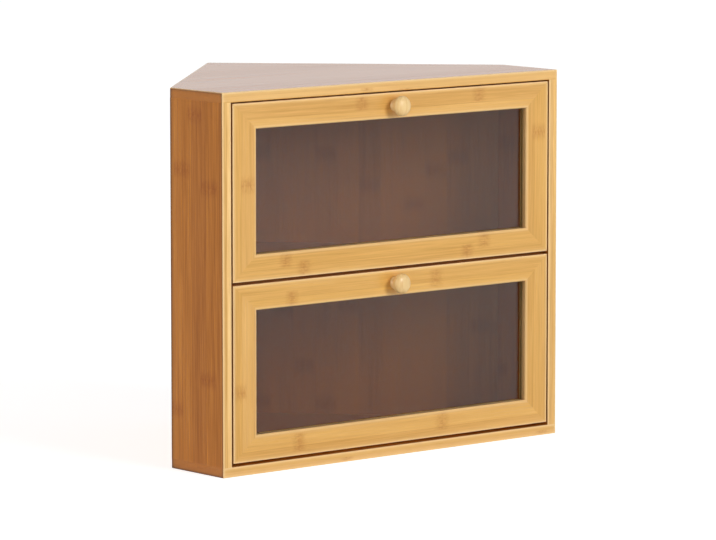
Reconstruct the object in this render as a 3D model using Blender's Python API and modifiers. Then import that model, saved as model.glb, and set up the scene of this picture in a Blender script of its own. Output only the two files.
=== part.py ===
"""Corner bread box with two drop-front window doors, built from separate pieces at real size.

Metres, +Z up. The origin is on the underside of the bottom board, at mid width and half way from the front
face to the rear corner. The doors face -Y, and the pieces of each door hang on an empty on its hinge line.
"""

import math

import bmesh
import bpy

# Case
CASE_WIDTH = 0.400
CASE_HEIGHT = 0.344
SIDE_DEPTH = 0.075
BOARD_THICKNESS = 0.009
SIDE_THICKNESS = 0.010
BACK_THICKNESS = 0.009
SHELF_THICKNESS = 0.009
ROOM_CORNER_DEGREES = 90
EDGE_RADIUS = 0.0008

# Doors
DOOR_THICKNESS = 0.010
DOOR_SIDE_GAP = 0.0017
DOOR_TOP_GAP = 0.0014
DOOR_MIDDLE_GAP = 0.0027
DOOR_BOTTOM_GAP = 0.0029
STILE_WIDTH = 0.027
RAIL_WIDTH = 0.0237
WINDOW_EDGE_RADIUS = 0.0016
PANE_THICKNESS = 0.002
PANE_SEAT = 0.006
PANE_SETBACK = 0.006
PIVOT_HEIGHT = 0.0086
PIVOT_SETBACK = 0.0042

# Knobs
KNOB_DIAMETER = 0.0185
KNOB_PROJECTION = 0.015
KNOB_DOME_HEIGHT = 0.0058
KNOB_DOME_POWER = 2.4
KNOB_RIM_RADIUS = 0.0022
KNOB_NECK_DIAMETER = 0.0085
KNOB_FOOT_DIAMETER = 0.0115

# Pins that the doors turn on, and pins that stop them level
PIVOT_PIN_DIAMETER = 0.003
PIVOT_PIN_LENGTH = 0.016
STOP_PIN_DIAMETER = 0.003
STOP_PIN_LENGTH = 0.012
PIN_BITE = 0.006

# Catches
MAGNET_DIAMETER = 0.005
MAGNET_THICKNESS = 0.003
STRIKE_THICKNESS = 0.0015
CATCH_BLOCK_WIDTH = 0.040
CATCH_BLOCK_DEPTH = 0.012
CATCH_BLOCK_HEIGHT = 0.014

# Dowels and screws
DOWEL_DIAMETER = 0.005
DOWEL_LENGTH = 0.022
DOWEL_BITE = 0.006
CASE_SCREW_HEAD = 0.008
CASE_SCREW_SHANK = 0.004
CASE_SCREW_BITE = 0.021
BLOCK_SCREW_HEAD = 0.006
BLOCK_SCREW_SHANK = 0.003
BLOCK_SCREW_BITE = 0.0055
KNOB_SCREW_HEAD = 0.0066
KNOB_SCREW_SHANK = 0.0035
KNOB_SCREW_BITE = 0.007
SCREW_SINK = 0.0002

# Clearances
JOINT_GAP = 0.0003
CUT_OVERRUN = 0.002
WELD_DISTANCE = 0.000001

# Proportions of small pieces, and places along the panels
ROD_CHAMFER_SHARE = 0.1
SCREW_LIP_SHARE = 0.05
SCREW_TIP_SHARE = 1.1
CROSS_LENGTH_SHARE = 0.55
CROSS_WIDTH_SHARE = 0.14
CROSS_DEPTH_SHARE = 0.2
SIDE_FIXING_SHARES = (0.32, 0.74)
BACK_FIXING_SHARES = (0.14, 0.84)
SHELF_DOWEL_SHARES = {"side": (0.34, 0.76), "back": (0.5,)}
BLOCK_SCREW_SHARE = 0.3

# Facets
EASE_STEPS = 4
ARC_STEPS = 3
DOME_STEPS = 5
KNOB_FACETS = 32
SCREW_FACETS = 12
ROD_FACETS = 12
PIN_FACETS = 16
FLAT_ANGLE = math.radians(1)
SHARP_ANGLE = math.radians(35)

# Sizes that follow from the ones above
QUARTER_TURN = math.radians(90)
HALF_TURN = math.radians(180)
HALF_CORNER = math.radians(ROOM_CORNER_DEGREES / 2)
SIDES = {"left": -1, "right": 1}
INSIDE_HEIGHT = CASE_HEIGHT - 2 * BOARD_THICKNESS
DOOR_WIDTH = CASE_WIDTH - 2 * (SIDE_THICKNESS + DOOR_SIDE_GAP)
DOOR_HEIGHT = (INSIDE_HEIGHT - DOOR_TOP_GAP - DOOR_MIDDLE_GAP - DOOR_BOTTOM_GAP) / 2
DOOR_BOTTOMS = {
    "lower": BOARD_THICKNESS + DOOR_BOTTOM_GAP,
    "upper": BOARD_THICKNESS + DOOR_BOTTOM_GAP + DOOR_HEIGHT + DOOR_MIDDLE_GAP,
}
SHELF_TOP = DOOR_BOTTOMS["upper"] - JOINT_GAP
SHELF_MIDDLE = SHELF_TOP - SHELF_THICKNESS / 2
DOOR_MIDDLE_Y = DOOR_THICKNESS / 2 - PIVOT_SETBACK
DOOR_BACK_Y = DOOR_THICKNESS - PIVOT_SETBACK
PANE_MIDDLE_Y = PANE_SETBACK + PANE_THICKNESS / 2 - PIVOT_SETBACK
CATCH_DROP = (DOOR_BOTTOMS["lower"] + DOOR_HEIGHT - SHELF_TOP + SHELF_THICKNESS) / 2


def wall_depth(from_side, inset):
    """How far behind the front a back panel lies, this far in from the side and this deep in the panel."""
    return SIDE_DEPTH + (from_side * math.cos(HALF_CORNER) - inset) / math.sin(HALF_CORNER)


REAR_DEPTH = wall_depth(CASE_WIDTH / 2, 0)
FRONT_Y = -REAR_DEPTH / 2
STOP_Y = FRONT_Y + DOOR_THICKNESS + JOINT_GAP


# Scene, collections and materials
def new_collection(name):
    collection = bpy.data.collections.new(name)
    bpy.context.scene.collection.children.link(collection)
    return collection


for leftover in list(bpy.data.objects):
    bpy.data.objects.remove(leftover)
PARTS = new_collection("corner_bread_box")
CUTTERS = new_collection("corner_bread_box_cutters")


def linear(level):
    """One colour channel from 0 to 255, as light."""
    share = level / 255
    return share / 12.92 if share <= 0.04045 else ((share + 0.055) / 1.055) ** 2.4


def new_material(name, red, green, blue, roughness, metallic=0.0, transmission=0.0):
    material = bpy.data.materials.new(name)
    material.use_nodes = True
    colour = (linear(red), linear(green), linear(blue), 1)
    shader = material.node_tree.nodes["Principled BSDF"]
    shader.inputs["Base Color"].default_value = colour
    shader.inputs["Roughness"].default_value = roughness
    shader.inputs["Metallic"].default_value = metallic
    shader.inputs["Transmission Weight"].default_value = transmission
    material.diffuse_color = colour
    return material


CASE_BAMBOO = new_material("case_bamboo", 216, 166, 100, 0.42)
DOOR_BAMBOO = new_material("door_bamboo", 224, 175, 104, 0.42)
KNOB_WOOD = new_material("knob_wood", 240, 208, 148, 0.4)
CLEAR_PANE = new_material("clear_pane", 205, 198, 192, 0.04, transmission=0.95)
DOWEL_WOOD = new_material("dowel_wood", 222, 196, 150, 0.6)
PIN_STEEL = new_material("pin_steel", 190, 190, 188, 0.25, metallic=1.0)
SCREW_STEEL = new_material("screw_steel", 176, 170, 150, 0.3, metallic=1.0)
MAGNET_NICKEL = new_material("magnet_nickel", 165, 168, 172, 0.2, metallic=1.0)


# Tools that make meshes
def bake(source):
    """The mesh of an object as its modifiers leave it. The object itself is removed."""
    bpy.context.view_layer.update()
    graph = bpy.context.evaluated_depsgraph_get()
    mesh = bpy.data.meshes.new_from_object(source.evaluated_get(graph))
    bpy.data.objects.remove(source)
    return mesh


def helper_object(name, data):
    helper = bpy.data.objects.new(name, data)
    CUTTERS.objects.link(helper)
    helper.hide_render = True
    helper.display_type = "WIRE"
    return helper


def box_mesh(width, depth, height):
    """A box round the mesh's own origin."""
    mesh = bpy.data.meshes.new("box")
    shape = bmesh.new()
    bmesh.ops.create_cube(shape, size=1)
    bmesh.ops.scale(shape, vec=(width, depth, height), verts=shape.verts)
    shape.to_mesh(mesh)
    shape.free()
    return mesh


def slab_mesh(outline, thickness):
    """A flat outline made solid, half its thickness above and below its own origin."""
    curve = bpy.data.curves.new("outline", "CURVE")
    curve.dimensions = "2D"
    curve.fill_mode = "BOTH"
    curve.extrude = thickness / 2
    spline = curve.splines.new("POLY")
    spline.points.add(len(outline) - 1)
    for point, (x, y) in zip(spline.points, outline):
        point.co = (x, y, 0, 1)
    spline.use_cyclic_u = True
    mesh = bake(helper_object("outline", curve))
    shape = bmesh.new()
    shape.from_mesh(mesh)
    bmesh.ops.remove_doubles(shape, verts=shape.verts, dist=WELD_DISTANCE)
    bmesh.ops.dissolve_limit(
        shape, angle_limit=FLAT_ANGLE, verts=shape.verts, edges=shape.edges
    )
    bmesh.ops.recalc_face_normals(shape, faces=shape.faces)
    shape.to_mesh(mesh)
    shape.free()
    return mesh


def turned_mesh(profile, facets):
    """A profile of (radius, height) pairs, top to bottom, turned round Z."""
    line = bpy.data.meshes.new("profile")
    points = [(radius, 0, height) for radius, height in profile]
    line.from_pydata(points, [(i, i + 1) for i in range(len(points) - 1)], [])
    helper = helper_object("profile", line)
    screw = helper.modifiers.new("turn", "SCREW")
    screw.steps = facets
    screw.render_steps = facets
    screw.use_merge_vertices = True
    screw.merge_threshold = WELD_DISTANCE
    mesh = bake(helper)
    mesh.shade_smooth()
    mesh.set_sharp_from_angle(angle=SHARP_ANGLE)
    return mesh


def ease_edges(mesh, is_eased, radius=EDGE_RADIUS):
    """Round the edges whose two end points the rule accepts."""
    shape = bmesh.new()
    shape.from_mesh(mesh)
    bmesh.ops.bevel(
        shape,
        geom=[edge for edge in shape.edges if is_eased(*(end.co for end in edge.verts))],
        offset=radius,
        segments=EASE_STEPS,
        profile=0.5,
        affect="EDGES",
        clamp_overlap=True,
    )
    shape.to_mesh(mesh)
    shape.free()


def cut_ends(mesh, planes):
    """Saw a shape off at planes, each given as a point and a normal that faces the waste."""
    shape = bmesh.new()
    shape.from_mesh(mesh)
    for point, normal in planes:
        everything = [*shape.verts, *shape.edges, *shape.faces]
        bmesh.ops.bisect_plane(
            shape, geom=everything, plane_co=point, plane_no=normal, clear_outer=True
        )
        bmesh.ops.holes_fill(shape, edges=shape.edges)
    bmesh.ops.recalc_face_normals(shape, faces=shape.faces)
    shape.to_mesh(mesh)
    shape.free()


# Tools that place pieces and cut holes
def put_at(item, location, rotation, hinge):
    item.location = location
    item.rotation_euler = rotation
    item.parent = hinge


def add_part(name, mesh, material, location, rotation=(0, 0, 0), hinge=None):
    """Place a mesh as the piece of this name. Its location counts from its hinge, if it has one."""
    part = bpy.data.objects.new(name, mesh)
    part.data.name = name
    if not part.data.materials:
        part.data.materials.append(material)
    PARTS.objects.link(part)
    put_at(part, location, rotation, hinge)
    return part


def cut_out(carriers, mesh, location, rotation=(0, 0, 0), hinge=None):
    """Cut one shape out of every piece that carries it."""
    cutter = helper_object("cutter", mesh)
    put_at(cutter, location, rotation, hinge)
    for carrier in carriers:
        boolean = carrier.modifiers.new("cut", "BOOLEAN")
        boolean.operation = "DIFFERENCE"
        boolean.solver = "EXACT"
        boolean.object = cutter


# Round pieces
def rod_profile(diameter, length, grow=0.0):
    """A chamfered rod round its own origin. Grown, it is the hole that the rod lies in."""
    radius = diameter / 2 + grow
    half = length / 2 + grow
    chamfer = diameter * ROD_CHAMFER_SHARE
    top = [(0, half), (radius - chamfer, half), (radius, half - chamfer)]
    return top + [(across, -height) for across, height in reversed(top)]


def screw_profile(head_diameter, shank_diameter, length, grow=0.0, mouth=0.0):
    """A countersunk screw with its head face at height zero. Grown, it is the screw's hole."""
    head = head_diameter / 2 + grow
    shank = shank_diameter / 2 + grow
    lip = head_diameter * SCREW_LIP_SHARE
    cone = (head_diameter - shank_diameter) / 2
    tip = shank_diameter * SCREW_TIP_SHARE
    end = -length - grow
    return [
        (0, mouth),
        (head, mouth),
        (head, -lip),
        (shank, -lip - cone),
        (shank, end + tip),
        (0, end),
    ]


def screw_mesh(head_diameter, shank_diameter, length):
    """A countersunk screw with a cross recess in its head."""
    profile = screw_profile(head_diameter, shank_diameter, length)
    screw = helper_object("screw", turned_mesh(profile, SCREW_FACETS))
    depth = head_diameter * CROSS_DEPTH_SHARE
    slot = box_mesh(
        head_diameter * CROSS_LENGTH_SHARE,
        head_diameter * CROSS_WIDTH_SHARE,
        2 * depth,
    )
    slots = [helper_object("slot", slot) for _ in range(2)]
    slots[1].rotation_euler = (0, 0, QUARTER_TURN)
    for cutter in slots:
        boolean = screw.modifiers.new("slot", "BOOLEAN")
        boolean.operation = "DIFFERENCE"
        boolean.solver = "EXACT"
        boolean.object = cutter
    mesh = bake(screw)
    for cutter in slots:
        bpy.data.objects.remove(cutter)
    return mesh


def knob_profile():
    """A mushroom knob, from the middle of its face to the door: domed head, rounded rim, neck and foot."""
    radius = KNOB_DIAMETER / 2
    rim = KNOB_RIM_RADIUS
    flat = radius - rim
    widest = KNOB_PROJECTION - KNOB_DOME_HEIGHT
    head_bottom = widest - rim
    points = []
    for step in range(DOME_STEPS):
        turn = QUARTER_TURN * step / DOME_STEPS
        across = radius * math.sin(turn) ** (2 / KNOB_DOME_POWER)
        rise = KNOB_DOME_HEIGHT * math.cos(turn) ** (2 / KNOB_DOME_POWER)
        points.append((across, widest + rise))
    for step in range(ARC_STEPS + 1):
        turn = QUARTER_TURN * step / ARC_STEPS
        points.append((flat + rim * math.cos(turn), widest - rim * math.sin(turn)))
    neck = KNOB_NECK_DIAMETER / 2
    foot = KNOB_FOOT_DIAMETER / 2
    waist = head_bottom / 2
    points += eased_line((flat, head_bottom), (neck, waist))
    points += eased_line((neck, waist), (foot, 0))
    return points + [(0, 0)]


def eased_line(start, end):
    """Points from start to end, without the start, along half a cosine wave."""
    points = []
    for step in range(1, ARC_STEPS + 1):
        share = step / ARC_STEPS
        swell = (1 - math.cos(HALF_TURN * share)) / 2
        across = start[0] + (end[0] - start[0]) * swell
        points.append((across, start[1] + (end[1] - start[1]) * share))
    return points


# Case panels
class Wall:
    """One upright wall panel. It runs from its corner along its heading, and its outer face is the case's."""

    def __init__(self, kind, side, thickness, length, fixing_shares):
        self.name = f"{side}_{kind}"
        self.kind = kind
        self.hand = SIDES[side]
        self.thickness = thickness
        self.length = length
        self.fixings = [share * length for share in fixing_shares]
        front = 0 if kind == "side" else SIDE_DEPTH
        self.corner = (self.hand * CASE_WIDTH / 2, FRONT_Y + front)
        self.heading = QUARTER_TURN + (self.hand * HALF_CORNER if kind == "back" else 0)

    def point(self, along, inwards, height):
        across = self.hand * inwards
        x = self.corner[0] + along * math.cos(self.heading) - across * math.sin(self.heading)
        y = self.corner[1] + along * math.sin(self.heading) + across * math.cos(self.heading)
        return (x, y, height)


def set_back(thickness, inner_shift):
    """How far a mitred end steps back along its panel, to leave half of the gap square to the mitre."""
    return JOINT_GAP / 2 * math.hypot(thickness, inner_shift) / thickness


def wall_outline(wall):
    """The plan of a wall panel in its own frame: a mitre at each end that meets another panel."""
    turn = HALF_TURN - HALF_CORNER
    own, other = BACK_THICKNESS, SIDE_THICKNESS
    if wall.kind == "side":
        own, other = other, own
    shift = (other + own * math.cos(turn)) / math.sin(turn)
    joint = set_back(own, shift)
    inner = wall.hand * own
    if wall.kind == "side":
        end = wall.length - joint
        return [(0, 0), (end, 0), (end - shift, inner), (0, inner)]
    rear_shift = own / math.tan(HALF_CORNER)
    end = wall.length - set_back(own, rear_shift)
    return [(joint, 0), (end, 0), (end - rear_shift, inner), (joint + shift, inner)]


def add_wall(wall):
    height = INSIDE_HEIGHT - 2 * JOINT_GAP
    mesh = slab_mesh(wall_outline(wall), height)
    if wall.kind == "side":
        ease_edges(mesh, lambda a, b: max(abs(a.x), abs(b.x)) < EDGE_RADIUS and a.z * b.z < 0)
    location = (*wall.corner, CASE_HEIGHT / 2)
    return add_part(f"{wall.name}_panel", mesh, CASE_BAMBOO, location, (0, 0, wall.heading))


def add_board(name, middle_height, eased_side):
    """A board over or under the whole plan. eased_side is 1 for a rounded upper rim, -1 for a lower one."""
    half = CASE_WIDTH / 2
    outline = [
        (-half, FRONT_Y),
        (half, FRONT_Y),
        (half, FRONT_Y + SIDE_DEPTH),
        (0, FRONT_Y + REAR_DEPTH),
        (-half, FRONT_Y + SIDE_DEPTH),
    ]
    mesh = slab_mesh(outline, BOARD_THICKNESS)
    ease_edges(mesh, lambda a, b: max(a.z * eased_side, b.z * eased_side) > 0)
    return add_part(name, mesh, CASE_BAMBOO, (0, 0, middle_height))


def add_shelf():
    side = SIDE_THICKNESS + JOINT_GAP
    back = BACK_THICKNESS + JOINT_GAP
    half = CASE_WIDTH / 2 - side
    corner_y = FRONT_Y + wall_depth(side, back)
    outline = [
        (-half, STOP_Y),
        (half, STOP_Y),
        (half, corner_y),
        (0, FRONT_Y + wall_depth(CASE_WIDTH / 2, back)),
        (-half, corner_y),
    ]
    mesh = slab_mesh(outline, SHELF_THICKNESS)
    return add_part("middle_shelf", mesh, CASE_BAMBOO, (0, 0, SHELF_MIDDLE))


def add_catch_block():
    """The small block under the top board that the upper door closes against."""
    mesh = box_mesh(CATCH_BLOCK_WIDTH, CATCH_BLOCK_DEPTH, CATCH_BLOCK_HEIGHT)
    ease_edges(mesh, lambda a, b: min(a.z, b.z) < 0)
    y = STOP_Y + CATCH_BLOCK_DEPTH / 2
    z = CASE_HEIGHT - BOARD_THICKNESS - JOINT_GAP - CATCH_BLOCK_HEIGHT / 2
    return add_part("upper_catch_block", mesh, CASE_BAMBOO, (0, y, z))


# Hardware of the case
def add_dowel(name, carriers, location, rotation=(0, 0, 0)):
    mesh = turned_mesh(rod_profile(DOWEL_DIAMETER, DOWEL_LENGTH), ROD_FACETS)
    add_part(name, mesh, DOWEL_WOOD, location, rotation)
    hole = turned_mesh(rod_profile(DOWEL_DIAMETER, DOWEL_LENGTH, JOINT_GAP), ROD_FACETS)
    cut_out(carriers, hole, location, rotation)


def add_screw(name, carriers, sizes, location, rotation, hinge=None):
    """sizes are the head diameter, the shank diameter and the length."""
    add_part(name, screw_mesh(*sizes), SCREW_STEEL, location, rotation, hinge)
    hole = turned_mesh(screw_profile(*sizes, grow=JOINT_GAP, mouth=CUT_OVERRUN), SCREW_FACETS)
    cut_out(carriers, hole, location, rotation, hinge)


def fasten_wall(wall, panel, top_board, bottom_board, shelf):
    """Screws up through the base, and blind dowels into the top board and the shelf."""
    middle = wall.thickness / 2
    dowel_height = CASE_HEIGHT - BOARD_THICKNESS + DOWEL_BITE - DOWEL_LENGTH / 2
    sizes = (CASE_SCREW_HEAD, CASE_SCREW_SHANK, BOARD_THICKNESS + CASE_SCREW_BITE)
    for place, along in zip(("front", "rear"), wall.fixings):
        head = wall.point(along, middle, SCREW_SINK)
        add_screw(
            f"{wall.name}_base_screw_{place}", (bottom_board, panel), sizes, head, (HALF_TURN, 0, 0)
        )
        dowel = wall.point(along, middle, dowel_height)
        add_dowel(f"{wall.name}_top_dowel_{place}", (top_board, panel), dowel)
    inwards = wall.thickness - DOWEL_BITE + DOWEL_LENGTH / 2
    shares = SHELF_DOWEL_SHARES[wall.kind]
    for place, share in zip(("front", "rear"), shares):
        name = f"{wall.name}_shelf_dowel" + (f"_{place}" if len(shares) > 1 else "")
        location = wall.point(share * wall.length, inwards, SHELF_MIDDLE)
        rotation = (0, QUARTER_TURN, wall.heading + QUARTER_TURN)
        add_dowel(name, (panel, shelf), location, rotation)


def fasten_catch_block(block, top_board):
    sizes = (BLOCK_SCREW_HEAD, BLOCK_SCREW_SHANK, CATCH_BLOCK_HEIGHT + BLOCK_SCREW_BITE)
    bottom = block.location.z - CATCH_BLOCK_HEIGHT / 2 + SCREW_SINK
    for side, hand in SIDES.items():
        head = (hand * BLOCK_SCREW_SHARE * CATCH_BLOCK_WIDTH, block.location.y, bottom)
        add_screw(f"catch_block_screw_{side}", (block, top_board), sizes, head, (HALF_TURN, 0, 0))


def add_disc(name, carriers, thickness, location, hinge=None):
    """A magnet or a strike disc, let in flush, with its axis from front to back."""
    rotation = (QUARTER_TURN, 0, 0)
    mesh = turned_mesh(rod_profile(MAGNET_DIAMETER, thickness), ROD_FACETS)
    add_part(name, mesh, MAGNET_NICKEL, location, rotation, hinge)
    hole = turned_mesh(rod_profile(MAGNET_DIAMETER, thickness, JOINT_GAP), ROD_FACETS)
    cut_out(carriers, hole, location, rotation, hinge)


def add_pins(level, hinge, panels, corner_pieces):
    """The two pins that a door turns on, and the two that its heel meets when it is level."""
    inner_face = CASE_WIDTH / 2 - SIDE_THICKNESS
    beside = DOOR_BACK_Y + JOINT_GAP + STOP_PIN_DIAMETER / 2
    rotation = (0, QUARTER_TURN, 0)
    kinds = (
        ("pivot", PIVOT_PIN_DIAMETER, PIVOT_PIN_LENGTH, 0),
        ("stop", STOP_PIN_DIAMETER, STOP_PIN_LENGTH, beside),
    )
    for side, hand in SIDES.items():
        for kind, diameter, length, offset in kinds:
            x = hand * (inner_face + PIN_BITE - length / 2)
            location = (x, hinge.location.y + offset, hinge.location.z + offset)
            mesh = turned_mesh(rod_profile(diameter, length), PIN_FACETS)
            add_part(f"{level}_door_{side}_{kind}_pin", mesh, PIN_STEEL, location, rotation)
            hole = turned_mesh(rod_profile(diameter, length, JOINT_GAP), PIN_FACETS)
            cut_out([panels[side]], hole, location, rotation)
            if kind == "pivot":
                cut_out(corner_pieces[side], hole, (x, 0, 0), rotation, hinge)


# Doors
def is_window_edge(a, b, width):
    """True on the front edge of a rail or stile that borders the window, in a box round its own origin."""
    is_inner = min(a.z, b.z) > width / 2 - WELD_DISTANCE
    is_front = max(a.y, b.y) < WELD_DISTANCE - DOOR_THICKNESS / 2
    return is_inner and is_front and a.x * b.x < 0


def frame_member_mesh(length, width, crossing_width):
    """A rail or stile along X, its outer edge at height zero, mitred to members of the crossing width."""
    mesh = box_mesh(length, DOOR_THICKNESS, width)
    ease_edges(mesh, lambda a, b: a.x * b.x < 0 and not (a.y < 0 < a.z))
    ease_edges(mesh, lambda a, b: is_window_edge(a, b, width), WINDOW_EDGE_RADIUS)
    shape = bmesh.new()
    shape.from_mesh(mesh)
    bmesh.ops.translate(shape, vec=(0, 0, width / 2), verts=shape.verts)
    shape.to_mesh(mesh)
    shape.free()
    end = length / 2 - set_back(width, crossing_width)
    cut_ends(
        mesh,
        [((hand * end, 0, 0), (hand * width, 0, crossing_width)) for hand in SIDES.values()],
    )
    return mesh


def add_door(level):
    """One door: four mitred members round a pane, with a knob. Its pieces hang on the hinge empty."""
    bottom = DOOR_BOTTOMS[level]
    hinge = bpy.data.objects.new(f"{level}_door_hinge", None)
    hinge.location = (0, FRONT_Y + PIVOT_SETBACK, bottom + PIVOT_HEIGHT)
    PARTS.objects.link(hinge)

    middle = DOOR_HEIGHT / 2 - PIVOT_HEIGHT
    half_width = DOOR_WIDTH / 2
    half_height = DOOR_HEIGHT / 2
    rail = (DOOR_WIDTH, RAIL_WIDTH, STILE_WIDTH)
    stile = (DOOR_HEIGHT, STILE_WIDTH, RAIL_WIDTH)
    layout = {
        "bottom_rail": (rail, (0, DOOR_MIDDLE_Y, middle - half_height), 0),
        "top_rail": (rail, (0, DOOR_MIDDLE_Y, middle + half_height), HALF_TURN),
        "left_stile": (stile, (-half_width, DOOR_MIDDLE_Y, middle), QUARTER_TURN),
        "right_stile": (stile, (half_width, DOOR_MIDDLE_Y, middle), -QUARTER_TURN),
    }
    frame = {}
    for piece, (sizes, location, turn) in layout.items():
        mesh = frame_member_mesh(*sizes)
        rotation = (0, turn, 0)
        frame[piece] = add_part(f"{level}_door_{piece}", mesh, DOOR_BAMBOO, location, rotation, hinge)

    pane_width = DOOR_WIDTH - 2 * (STILE_WIDTH - PANE_SEAT)
    pane_height = DOOR_HEIGHT - 2 * (RAIL_WIDTH - PANE_SEAT)
    pane = box_mesh(pane_width, PANE_THICKNESS, pane_height)
    pane_centre = (0, PANE_MIDDLE_Y, middle)
    add_part(f"{level}_door_pane", pane, CLEAR_PANE, pane_centre, hinge=hinge)
    room = 2 * JOINT_GAP
    groove = box_mesh(pane_width + room, PANE_THICKNESS + room, pane_height + room)
    cut_out(frame.values(), groove, pane_centre, hinge=hinge)

    knob_height = middle + half_height - RAIL_WIDTH / 2
    foot = (0, -PIVOT_SETBACK - JOINT_GAP, knob_height)
    knob_shape = turned_mesh(knob_profile(), KNOB_FACETS)
    knob = add_part(f"{level}_door_knob", knob_shape, KNOB_WOOD, foot, (QUARTER_TURN, 0, 0), hinge)
    add_screw(
        f"{level}_door_knob_screw",
        (frame["top_rail"], knob),
        (KNOB_SCREW_HEAD, KNOB_SCREW_SHANK, DOOR_THICKNESS + KNOB_SCREW_BITE),
        (0, DOOR_BACK_Y - SCREW_SINK, knob_height),
        (-QUARTER_TURN, 0, 0),
        hinge,
    )
    strike = (0, DOOR_BACK_Y - STRIKE_THICKNESS / 2, middle + half_height - CATCH_DROP)
    add_disc(f"{level}_door_strike", [frame["top_rail"]], STRIKE_THICKNESS, strike, hinge)
    return hinge, frame


# Assembly
def build():
    bottom_board = add_board("bottom_board", BOARD_THICKNESS / 2, -1)
    top_board = add_board("top_board", CASE_HEIGHT - BOARD_THICKNESS / 2, 1)
    shelf = add_shelf()
    block = add_catch_block()
    side_panels = {}
    back_length = CASE_WIDTH / 2 / math.sin(HALF_CORNER)
    for side in SIDES:
        walls = (
            Wall("side", side, SIDE_THICKNESS, SIDE_DEPTH, SIDE_FIXING_SHARES),
            Wall("back", side, BACK_THICKNESS, back_length, BACK_FIXING_SHARES),
        )
        for wall in walls:
            panel = add_wall(wall)
            fasten_wall(wall, panel, top_board, bottom_board, shelf)
            if wall.kind == "side":
                side_panels[side] = panel
    fasten_catch_block(block, top_board)

    for level, catch_carrier in (("lower", shelf), ("upper", block)):
        hinge, frame = add_door(level)
        corner_pieces = {
            side: (frame[f"{side}_stile"], frame["bottom_rail"]) for side in SIDES
        }
        add_pins(level, hinge, side_panels, corner_pieces)
        height = DOOR_BOTTOMS[level] + DOOR_HEIGHT - CATCH_DROP
        magnet = (0, STOP_Y + MAGNET_THICKNESS / 2, height)
        add_disc(f"{level}_catch_magnet", [catch_carrier], MAGNET_THICKNESS, magnet)


build()
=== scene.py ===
# %% [markdown]
# # A corner bread box with two window doors
#
# This lesson dresses a finished frame of solid parts. The box stands in a room's corner, so its plan has
# five sides: a wide front, two short sides and two back panels that meet at a right angle. Two doors turn on
# hidden pins near their lower edges, and each one is a mitred bamboo frame round a smoky pane, with a turned
# knob.
#
# The frame's pieces are already the right size and in the right place. What they lack is wood that looks
# like bamboo, panes that let one look in, and knobs that are smooth. We begin by loading the frame, and we
# keep its box, because nothing that we add may reach outside it.

# %% Load the frame
import math

import bpy
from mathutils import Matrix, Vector


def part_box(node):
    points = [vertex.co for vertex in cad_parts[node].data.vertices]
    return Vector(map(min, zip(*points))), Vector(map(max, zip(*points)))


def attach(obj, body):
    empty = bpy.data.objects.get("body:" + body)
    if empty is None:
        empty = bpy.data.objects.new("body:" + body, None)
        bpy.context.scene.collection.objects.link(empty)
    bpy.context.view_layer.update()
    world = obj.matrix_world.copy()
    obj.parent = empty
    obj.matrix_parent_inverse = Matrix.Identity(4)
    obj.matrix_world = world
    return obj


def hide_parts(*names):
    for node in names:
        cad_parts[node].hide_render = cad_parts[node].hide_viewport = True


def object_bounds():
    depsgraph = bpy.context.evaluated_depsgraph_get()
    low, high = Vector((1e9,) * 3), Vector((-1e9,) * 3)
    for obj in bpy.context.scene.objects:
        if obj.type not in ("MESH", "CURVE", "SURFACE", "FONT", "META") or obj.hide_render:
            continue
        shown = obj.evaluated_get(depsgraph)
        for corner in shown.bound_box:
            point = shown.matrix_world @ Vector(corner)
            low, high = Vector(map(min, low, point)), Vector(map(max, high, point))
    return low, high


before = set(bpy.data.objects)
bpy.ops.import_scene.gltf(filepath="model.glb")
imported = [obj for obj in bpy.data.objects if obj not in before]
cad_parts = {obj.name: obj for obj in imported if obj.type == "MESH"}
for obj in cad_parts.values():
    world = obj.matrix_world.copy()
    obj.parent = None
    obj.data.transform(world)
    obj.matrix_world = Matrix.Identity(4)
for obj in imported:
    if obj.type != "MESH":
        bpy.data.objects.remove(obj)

cad_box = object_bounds()
print("frame box", [round(side, 4) for side in cad_box[1] - cad_box[0]])

# %% [markdown]
# ## The camera
#
# The photograph was taken from the front left and a little above, with a long lens from far away: the box's
# verticals stay almost parallel. Three things fix such a view: where the camera stands, which way it looks
# and how long its lens is. They were worked out from where the case's corners lie in the picture. A camera
# looks straight down until it is tilted, and 90 degrees bring it level.

# %% Camera
CAMERA_PLACE = (-2.7568, -3.3569, 0.6955)
CAMERA_DOWN_DEGREES = 7.054
CAMERA_TURN_DEGREES = -40.122
CAMERA_LENS_MM = 235.46
CAMERA_SENSOR_MM = 36

camera_data = bpy.data.cameras.new("camera")
camera_data.sensor_width = CAMERA_SENSOR_MM
camera_data.lens = CAMERA_LENS_MM
camera = bpy.data.objects.new("camera", camera_data)
camera.location = CAMERA_PLACE
camera.rotation_euler = (math.radians(90 - CAMERA_DOWN_DEGREES), 0, math.radians(CAMERA_TURN_DEGREES))
bpy.context.scene.collection.objects.link(camera)
bpy.context.scene.camera = camera
bpy.context.scene.view_settings.view_transform = "Standard"
print("camera", [round(part, 3) for part in camera.location])

# %% [markdown]
# ## A short way to write nodes
#
# Bamboo takes many small nodes, and each one asks for the same four lines: make it, set it, fill it, link
# it. We write those lines once. A value that is a socket is linked, and any other value is typed into the
# input.

# %% Node helpers
def add_node(tree, kind, inputs=None, **settings):
    """A new node with these settings. Inputs are filled by name or number, with sockets or with values."""
    made = tree.nodes.new(kind)
    for name, value in settings.items():
        setattr(made, name, value)
    for key, value in (inputs or {}).items():
        if isinstance(value, bpy.types.NodeSocket):
            tree.links.new(value, made.inputs[key])
        else:
            made.inputs[key].default_value = value
    return made


def calc(tree, operation, *values):
    """The result of a Math node."""
    return add_node(tree, "ShaderNodeMath", dict(enumerate(values)), operation=operation).outputs[0]


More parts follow.
